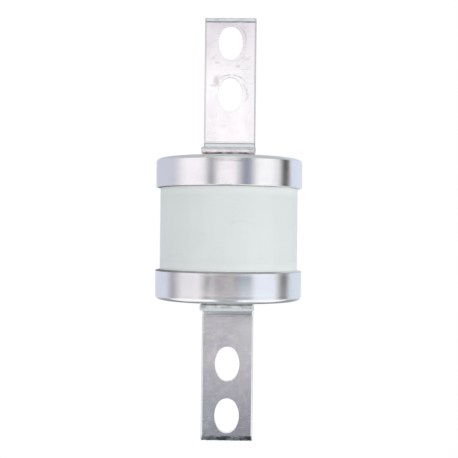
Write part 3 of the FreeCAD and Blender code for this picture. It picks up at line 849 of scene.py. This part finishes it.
def tag_piece(name, shears):
    """One tag as a closed mesh: the strip, its two cropped ends and its two punched holes."""
    places, faces = [], []

    def add(across, along, up):
        places.append((across * mm, along * mm, up * mm))
        return len(places) - 1

    def join(first, second, closed=True):
        count = len(first)
        for index in range(count if closed else count - 1):
            after = (index + 1) % count
            faces.append((first[index], first[after], second[after], second[index]))

    stations, blade = strip_stations()
    rings = []
    for number, (spot, way, face, inset, cut) in enumerate(stations):
        ring = []
        from_end = min(number, len(stations) - 1 - number)
        end = 0 if number < blade else 1
        for across, depth in strip_section(inset, cut):
            at = spot + face * depth
            if from_end < torn_rings:
                inward = way if end == 0 else -way
                at = at + inward * torn(across, depth, end * 3.7 + shears[end], shears[end])
            ring.append(add(across, at.x, at.y))
        rings.append(ring)

    columns, sides = tag_columns + 1, 2 * edge_steps
    back_first, back_last = columns + sides, 2 * columns + sides - 1
    for number, (first, second) in enumerate(zip(rings, rings[1:])):
        if number != blade:
            join(first, second)
            continue
        right = list(range(columns - 2, back_first + 2))
        left = list(range(back_last - 1, len(first))) + [0, 1]
        for run in (right, left):
            join([first[n] for n in run], [second[n] for n in run], closed=False)

    # The blade's two flat faces, each with its two holes
    fronts, backs = [], []
    depths = [(punch_round + 0.1, 0.0)]
    for step in range(5):
        angle = math.radians(90 * step / 4)
        depths.append((punch_round * (1 - math.sin(angle)), punch_round * (1 - math.cos(angle))))
    for height in hole_heights:
        loops = []
        for outside, depth in depths + hole_wall:
            loops.append([add(x, depth - tag_half_thickness, z) for x, z in oval(height, outside)])
        for first, second in zip(loops, loops[1:]):
            join(first, second)
        fronts.append(loops[0])
        backs.append(loops[-1])
    low, high = rings[blade], rings[blade + 1]
    front = low[1:columns - 1] + high[1:columns - 1][::-1]
    back = low[back_first + 1:back_last] + high[back_first + 1:back_last][::-1]
    for outline, holes in ((front, fronts), (back, backs)):
        runs = [outline, *holes]
        flat = [[Vector((places[n][0], places[n][2], 0)) for n in run] for run in runs]
        order = [n for run in runs for n in run]
        for three in tessellate_polygon(flat):
            faces.append(tuple(order[n] for n in three))

    # The two cropped ends, uneven where the shear tore the copper
    for end, ring in ((0, rings[0]), (1, rings[-1])):
        way = stations[0][1] if end == 0 else -stations[-1][1]
        grid = []
        for column in range(columns):
            top, under = ring[column], ring[back_last - column]
            run = [top]
            for row in range(1, end_rows):
                share = row / end_rows
                at = Vector(places[top]).lerp(Vector(places[under]), share) / mm
                dip = torn(at.x, share * 3, 8 + end * 2 + shears[end], shears[end] * 1.3)
                run.append(add(at.x, at.y + way.x * dip, at.z + way.y * dip))
            grid.append(run + [under])
        for first, second in zip(grid, grid[1:]):
            join(first, second, closed=False)
        faces.append((*ring[columns - 1:back_first + 1], *reversed(grid[-1][1:-1])))
        faces.append((*ring[back_last:], *grid[0][:-1]))

    tag = mesh_piece(name, places, faces)
    outward(tag)
    tag.data.polygons.foreach_set("use_smooth", [True] * len(tag.data.polygons))
    return tag


def tag_plate(name, way_up, look):
    """Tin plate over copper strip: clouded, scratched every way, rubbed by washers, rough at its cut ends,
    with painted light and shade at its bend, foot and ends.

    The way up is 1 for the upper tag and -1 for the lower.
    """
    bright, roughness = look["bright"], look["roughness"]
    material, place = start_finish(name, bright, roughness, metallic=1.0)
    across, along, height = parts_of(place)
    up = times(height, way_up)
    clouds = ease(grain(place, 60, (1, 1, 0.6), detail=4.0), 0.36, 0.66)
    patches = ease(grain(place, 150, turn=(0, 0.6, 0), detail=5.0), 0.52, 0.72)
    plate = tint(clouds, bright, look["cloud"])
    plate = tint(times(patches, look["blotches"]), plate, look["dull"])
    # Painted light: the lower tag is paler towards the cap
    plate = tint(ease_mm(up, 57, 46, 0.0, look["pale"]), plate, (1.0, 1.0, 1.0))
    # The upper tag darker and mauve towards its blade's end
    plate = tint(ease_mm(up, 68, 101, 0.0, look["darker towards end"]), plate, (0.62, 0.55, 0.63))

    # Scratches, washer rubs and smudges
    lines = []
    for turn, cells, keep in ((0.5, 90, 0.69), (-0.9, 110, 0.7), (1.45, 75, 0.68), (0.05, 130, 0.71)):
        line = grain(place, cells, (1, 1, 24), (0, turn, 0), detail=3.0)
        lines.append(ease(line, keep, keep + 0.05))
    scratches = calc("MAXIMUM", *lines)
    mottle = ease(grain(place, 430, (1, 1, 0.8), (0, 0.5, 0), detail=6.0), 0.5, 0.66)
    ragged = ease(grain(place, 700, detail=4.0), 0.35, 0.62, 0.2, 1.0)
    cells, stretch, keep = look["smear"]
    smear = grain(place, cells, (1, 1, stretch), (0, 1.15, 0), detail=4.0)
    smear = ease(smear, keep, keep + 0.1, 0.15, 1.0)
    marks = []
    for x, z, radius, first, last, strength in look["rubs"]:
        right, rise = calc("SUBTRACT", across, x * mm), calc("SUBTRACT", height, z * mm)
        reach = calc("SQRT", calc("ADD", calc("POWER", right, 2), calc("POWER", rise, 2)))
        ring = ease_mm(apart(reach, radius * mm), 0.55, 0.1)
        middle, half = math.radians((first + last) / 2), math.radians((last - first) / 2)
        arc = ease(apart(calc("ARCTAN2", rise, right), middle), half, half * 0.6)
        marks.append(times(ring, arc, strength, ragged))
    for x, z, half_width, half_height, strength in look["smudges"]:
        right = calc("DIVIDE", calc("SUBTRACT", across, x * mm), half_width * mm)
        rise = calc("DIVIDE", calc("SUBTRACT", height, z * mm), half_height * mm)
        reach = calc("ADD", calc("POWER", right, 2), calc("POWER", rise, 2))
        marks.append(times(ease(reach, 1.0, 0.0), strength, smear))
    rubbed = calc("MAXIMUM", *marks)

    # Painted shade at the bend: a darker band on its front, darker to the right on the lower tag, and a
    # painted dark crease line where the bend starts; then the marks over it
    crease_shade = ease_mm(apart(up, bend_crease_height * mm), 0.55, 0.15)
    below = ease_mm(up, 43.4, 42.6)
    front = ease_mm(along, -1.0, -1.5)
    bend_shade = times(below, front, ease_mm(across, -11, 3, *look["bend shade across"]))
    plate = tint(times(mottle, look["mottle"]), plate, look["rub"])
    plate = tint(times(scratches, look["scratches"]), plate, look["rub"])
    plate = tint(calc("MAXIMUM", bend_shade, times(crease_shade, 0.3)), plate, (0.5, 0.52, 0.52))
    plate = tint(rubbed, plate, look["rub"])

    # The cut ends and sides
    blade_cut = ease_mm(up, crop_start - 0.2, crop_start + 0.9)
    foot_cut = ease_mm(along, foot_front + 0.45, foot_front + 0.15)
    torn_grain = grain(place, 260, detail=5.0)
    flecks = ease(torn_grain, 0.38, 0.62)
    wander = times(grain(place, 500, (1, 1, 0.3), detail=4.0), 0.9 * mm)
    ragged_cut = ease_mm(calc("ADD", up, wander), crop_start + 0.1, crop_start + 0.5)
    # The cropped end at the blade, rough and flecked; on the lower tag, which faces down, it is near black as
    # painted shade
    plate = tint(ragged_cut, plate, tint(flecks, *look["blade cut and shade"]))
    # Painted shade: a dark crease line where the crop starts, on the upper tag
    line = ease_mm(apart(up, (crop_start + 0.25) * mm), 0.6, 0.15)
    plate = tint(times(line, look["crease_shade"]), plate, (0.42, 0.43, 0.46))
    # The foot's cut front end: on the upper tag a painted highlight below its middle and a darker painted
    # reflection above; on the lower tag rough grey-green, with a painted highlight along its outer edge
    lip = ease_mm(up, foot_middle - 0.1, foot_middle + 0.7)
    plate = tint(foot_cut, plate, tint(lip, tint(flecks, *look["foot cut and highlight"]), look["foot lip reflection"]))
    outer = calc("ABSOLUTE", across)
    edge = ease_mm(outer, tag_half_width - 0.75, tag_half_width - 0.35, 0.0, look["side share"])
    plate = tint(edge, plate, look["side"])

    # The holes' walls, where the punch left the plate matt
    within = times(
        ease_mm(outer, 9, 8),
        ease_mm(up, 50, 51),
        ease_mm(up, 101.6, 101.0),
        ease_mm(calc("ABSOLUTE", along), tag_half_thickness - 0.003, tag_half_thickness - 0.015),
    )
    plate = tint(within, plate, (1.0, 0.99, 1.0))

    foot_roughness, blade_roughness = look["cut roughness"]
    rough = calc(
        "ADD",
        ease(clouds, 0, 1, roughness - 0.04, roughness + 0.05),
        times(within, 0.35),
        times(blade_cut, blade_roughness),
        times(foot_cut, foot_roughness),
        times(calc("MAXIMUM", scratches, rubbed), 0.16),
    )
    relief = raise_by(grain(place, 42, (1, 1, 0.7), detail=1.0), 0.00016)
    relief = raise_by(scratches, -0.000005, relief)
    relief = raise_by(grain(place, 1500, detail=3.0), 0.000008, relief)
    relief = raise_by(times(torn_grain, calc("MAXIMUM", blade_cut, foot_cut)), 0.0005, relief)
    return end_finish(material, plate, relief, rough, metallic=ease(within, 0, 1, 1.0, 0.15))


# Marks on the upper and the lower tag, in millimetres and degrees, seen from the front. A rub is (x, z,
# radius, from, to, strength) and a smudge (x, z, half width, half height, strength).
tag_rubs = [
    [
        (-0.4, 93.3, 8.1, -24, 62, 0.42), (0.0, 92.0, 9.6, -75, -40, 0.24),
        (0.3, 66.9, 9.3, 28, 140, 0.5), (0.3, 66.4, 7.9, -32, 48, 0.3),
        (-0.1, 66.2, 8.9, -20, 30, 0.26),
    ],
    [
        (-4.0, -57.0, 6.0, 20, 160, 0.3), (-2.0, -60.0, 8.2, 60, 150, 0.26),
        (-6.0, -50.5, 4.6, 190, 330, 0.24), (0.0, -66.5, 8.4, 110, 230, 0.22),
        (0.3, -92.0, 9.0, 200, 250, 0.2),
    ],
]
tag_smudges = [
    [
        (-6.8, 73.2, 2.0, 3.6, 0.44), (-7.8, 71.0, 3.0, 1.0, 0.36), (-5.2, 75.0, 3.4, 1.9, 0.2),
        (3.6, 80.4, 1.6, 1.1, 0.3), (-6.6, 82.2, 1.6, 1.0, 0.2), (8.3, 84.0, 2.2, 1.2, 0.2),
        (-8.8, 84.6, 2.0, 1.2, 0.16),
    ],
    [
        (-5.4, -53.4, 7.0, 5.6, 0.55), (-9.4, -50.6, 4.0, 1.5, 0.8), (5.5, -55.0, 5.0, 2.4, 0.34),
        (-9.4, -62.0, 3.2, 6.4, 0.5), (-9.2, -77.0, 2.6, 4.6, 0.28), (-9.2, -94.0, 3.6, 8.0, 0.26),
        # This last smudge is a painted reflection: a light patch at the left of the lower tag's bend
        (-9.6, -42.0, 3.4, 0.9, 0.9),
    ],
]
# The upper and the lower tag's looks, with painted light among them. The shears are how far each is torn at
# its foot and blade's end.
tag_looks = {
    "shears": ((0.1, 0.06), (0.22, 0.3)),
    "rubs": tag_rubs,
    "smudges": tag_smudges,
    "smear": ((420, 1.0, 0.34), (190, 2.6, 0.44)),
    # The lower tag's darker plain and clouded colours are painted shade: both tags have the same plating
    "bright": ((1.0, 0.97, 0.995), (0.79, 0.77, 0.8)),
    "cloud": ((0.99, 0.972, 0.99), (0.73, 0.735, 0.78)),
    "dull": ((0.86, 0.82, 0.85), (0.88, 0.88, 0.9)),
    "rub": ((0.46, 0.44, 0.47), (0.97, 0.97, 0.97)),
    "side": ((0.62, 0.61, 0.63), (0.94, 0.98, 0.97)),
    "side share": (0.4, 0.75),
    "pale": (0.0, 0.5),
    "darker towards end": (0.34, 0.0),
    "blotches": (0.16, 0.46),
    "mottle": (0.05, 0.34),
    "scratches": (0.07, 0.3),
    "bend shade across": ((0.08, 0.08), (0.04, 0.34)),
    "crease_shade": (0.95, 0.0),
    "foot cut and highlight": (((0.9, 0.85, 0.87), (1.0, 0.96, 0.98)), ((0.62, 0.66, 0.66), (0.95, 1.0, 1.0))),
    "foot lip reflection": ((0.68, 0.74, 0.74), (0.97, 1.0, 1.0)),
    "blade cut and shade": (((0.8, 0.82, 0.84), (0.94, 0.96, 0.98)), ((0.08, 0.09, 0.1), (0.36, 0.38, 0.4))),
    "roughness": (0.15, 0.2),
    "cut roughness": ((0.1, 0.06), (0.34, 0.16)),
}
for number, end in enumerate(("upper", "lower")):
    look = {key: pair[number] for key, pair in tag_looks.items()}
    tag = tag_piece(f"{end}_bent_tag", look["shears"])
    if end == "lower":
        turn_over(tag)
    tag.data.materials.append(tag_plate(f"tin_plate_on_{end}_tag", 1 - 2 * number, look))
    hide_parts(f"{end}_tag")
    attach(tag, "root")
